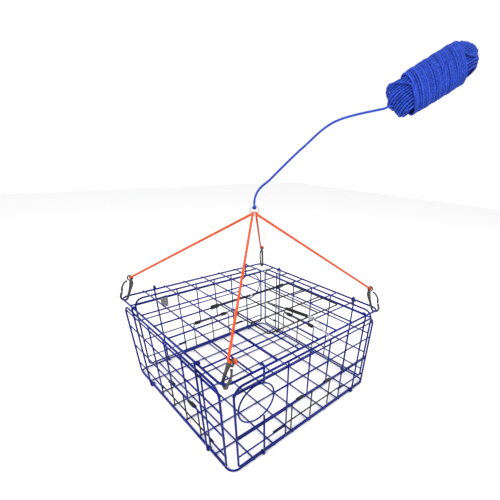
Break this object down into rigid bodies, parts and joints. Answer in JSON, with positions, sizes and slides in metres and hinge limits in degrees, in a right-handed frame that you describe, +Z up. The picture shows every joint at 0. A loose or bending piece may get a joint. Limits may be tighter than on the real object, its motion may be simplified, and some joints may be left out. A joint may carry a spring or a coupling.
{
  "type": "folding crab trap",
  "caption": "Folding square wire crab trap with swing-in entrance gates, escape rings, a latched lid door, and a clip-on cord harness meeting at a lift ring with a hank of rope.",
  "frame": {"origin": "on the ground under the middle of the base, the height that the hinge curls stand on", "axes": "+Z up; the latch end is the front at -Y; the left side as seen from the front is -X"},
  "size_m": [1.0033, 0.643, 1.0324],
  "materials": {
    "blue_wire": "dark blue plastic coat over steel wire",
    "black_wire": "black plastic coat over thin steel wire",
    "black_plastic": "moulded black sleeve",
    "black_rubber": "matt black rubber",
    "bright_steel": "plain bright steel",
    "gunmetal": "dark grey plated steel",
    "zinc": "dull cast zinc",
    "orange_cord": "orange braided cord",
    "blue_rope": "blue laid rope"
  },
  "bodies": {
    "base": {"base_panel": "blue_wire"},
    "left_side": {"left_panel": "blue_wire", "left_sleeve_a": "black_plastic", "left_sleeve_b": "black_plastic"},
    "right_side": {"right_panel": "blue_wire", "right_sleeve_a": "black_plastic", "right_sleeve_b": "black_plastic"},
    "front_side": {"front_panel": "blue_wire", "front_sleeve_a": "black_plastic", "front_sleeve_b": "black_plastic", "front_escape_ring": "blue_wire"},
    "back_side": {"back_panel": "blue_wire", "back_sleeve_a": "black_plastic", "back_sleeve_b": "black_plastic", "back_escape_ring": "blue_wire", "zinc_anode": "zinc"},
    "front_gate": {"front_gate": "black_wire"},
    "back_gate": {"back_gate": "black_wire"},
    "left_gate": {"left_gate": "black_wire"},
    "right_gate": {"right_gate": "black_wire"},
    "lid": {"lid_panel": "blue_wire", "door_sleeve_a": "black_plastic", "door_sleeve_b": "black_plastic", "clip_fl": "gunmetal", "clip_fr": "gunmetal", "clip_bl": "gunmetal", "clip_br": "gunmetal", "harness_left": "orange_cord", "harness_right": "orange_cord", "lift_ring": "bright_steel", "rope": "blue_rope", "rope_hank": "blue_rope"},
    "door": {"lid_door": "black_wire", "latch_elastic": "black_rubber", "latch_crimp_back": "bright_steel", "latch_crimp_mid": "bright_steel"},
    "latch": {"latch_grip": "black_rubber", "latch_crimp": "bright_steel", "latch_hook": "bright_steel"},
    "clip_gate_fl": {"clip_gate_fl": "gunmetal"},
    "clip_gate_fr": {"clip_gate_fr": "gunmetal"},
    "clip_gate_bl": {"clip_gate_bl": "gunmetal"},
    "clip_gate_br": {"clip_gate_br": "gunmetal"}
  },
  "joints": [
    {"name": "fold", "type": "hinge", "parent": "base", "child": "left_side", "pos_m": [-0.3022, 0, 0.0091], "axis": [0, 1, 0], "range_deg": [0, 76]},
    {"name": "right_fold", "type": "hinge", "parent": "base", "child": "right_side", "pos_m": [0.3022, 0, 0.0091], "axis": [0, 1, 0], "range_deg": [0, 76]},
    {"name": "lid_level", "type": "hinge", "parent": "left_side", "child": "lid", "pos_m": [-0.3022, 0, 0.3086], "axis": [0, 1, 0], "range_deg": [-76, 0]},
    {"name": "front_fold", "type": "hinge", "parent": "base", "child": "front_side", "pos_m": [0, -0.3022, 0.0091], "axis": [1, 0, 0], "range_deg": [0, 87]},
    {"name": "back_fold", "type": "hinge", "parent": "base", "child": "back_side", "pos_m": [0, 0.3022, 0.0091], "axis": [-1, 0, 0], "range_deg": [0, 87]},
    {"name": "front_gate_swing", "type": "hinge", "parent": "front_side", "child": "front_gate", "pos_m": [0.005, -0.2976, 0.1256], "axis": [-1, 0, 0], "range_deg": [-75, 0]},
    {"name": "back_gate_swing", "type": "hinge", "parent": "back_side", "child": "back_gate", "pos_m": [0.0205, 0.2976, 0.1256], "axis": [1, 0, 0], "range_deg": [-75, 0]},
    {"name": "left_gate_swing", "type": "hinge", "parent": "left_side", "child": "left_gate", "pos_m": [-0.2976, -0.058, 0.1256], "axis": [0, 1, 0], "range_deg": [-75, 0]},
    {"name": "right_gate_swing", "type": "hinge", "parent": "right_side", "child": "right_gate", "pos_m": [0.2976, 0.0545, 0.1256], "axis": [0, -1, 0], "range_deg": [-75, 0]},
    {"name": "lid_door_swing", "type": "hinge", "parent": "lid", "child": "door", "pos_m": [0.059, 0.0385, 0.317], "axis": [1, 0, 0], "range_deg": [-110, 0], "deforming": ["harness_left", "harness_right"]},
    {"name": "latch_lift", "type": "hinge", "parent": "door", "child": "latch", "pos_m": [0.044, -0.1285, 0.3245], "axis": [0.9848, 0.1735, 0], "range_deg": [-100, 0], "deforming": ["latch_elastic"]},
    {"name": "clip_gate_fl_swing", "type": "hinge", "parent": "lid", "child": "clip_gate_fl", "pos_m": [-0.28926, -0.31765, 0.36055], "axis": [-0.9603, 0.2019, 0.1923], "range_deg": [-24, 0], "stiffness_Nm_per_rad": 0.02, "springref_deg": 5.73},
    {"name": "clip_gate_fr_swing", "type": "hinge", "parent": "lid", "child": "clip_gate_fr", "pos_m": [0.30246, -0.26918, 0.35891], "axis": [-0.7471, -0.5396, 0.3882], "range_deg": [-24, 0], "stiffness_Nm_per_rad": 0.02, "springref_deg": 5.73},
    {"name": "clip_gate_bl_swing", "type": "hinge", "parent": "lid", "child": "clip_gate_bl", "pos_m": [-0.27154, 0.30049, 0.36029], "axis": [0.5725, 0.7463, -0.3395], "range_deg": [-24, 0], "stiffness_Nm_per_rad": 0.02, "springref_deg": 5.73},
    {"name": "clip_gate_br_swing", "type": "hinge", "parent": "lid", "child": "clip_gate_br", "pos_m": [0.30413, 0.31168, 0.36227], "axis": [0.9579, -0.2761, -0.0788], "range_deg": [-24, 0], "stiffness_Nm_per_rad": 0.02, "springref_deg": 5.73}
  ],
  "couplings": [
    {"joint": "right_fold", "follows": "fold", "ratio": 1},
    {"joint": "lid_level", "follows": "fold", "ratio": -1},
    {"joint": "front_fold", "follows": "fold", "ratio": 1.14},
    {"joint": "back_fold", "follows": "fold", "ratio": 1.14}
  ]
}
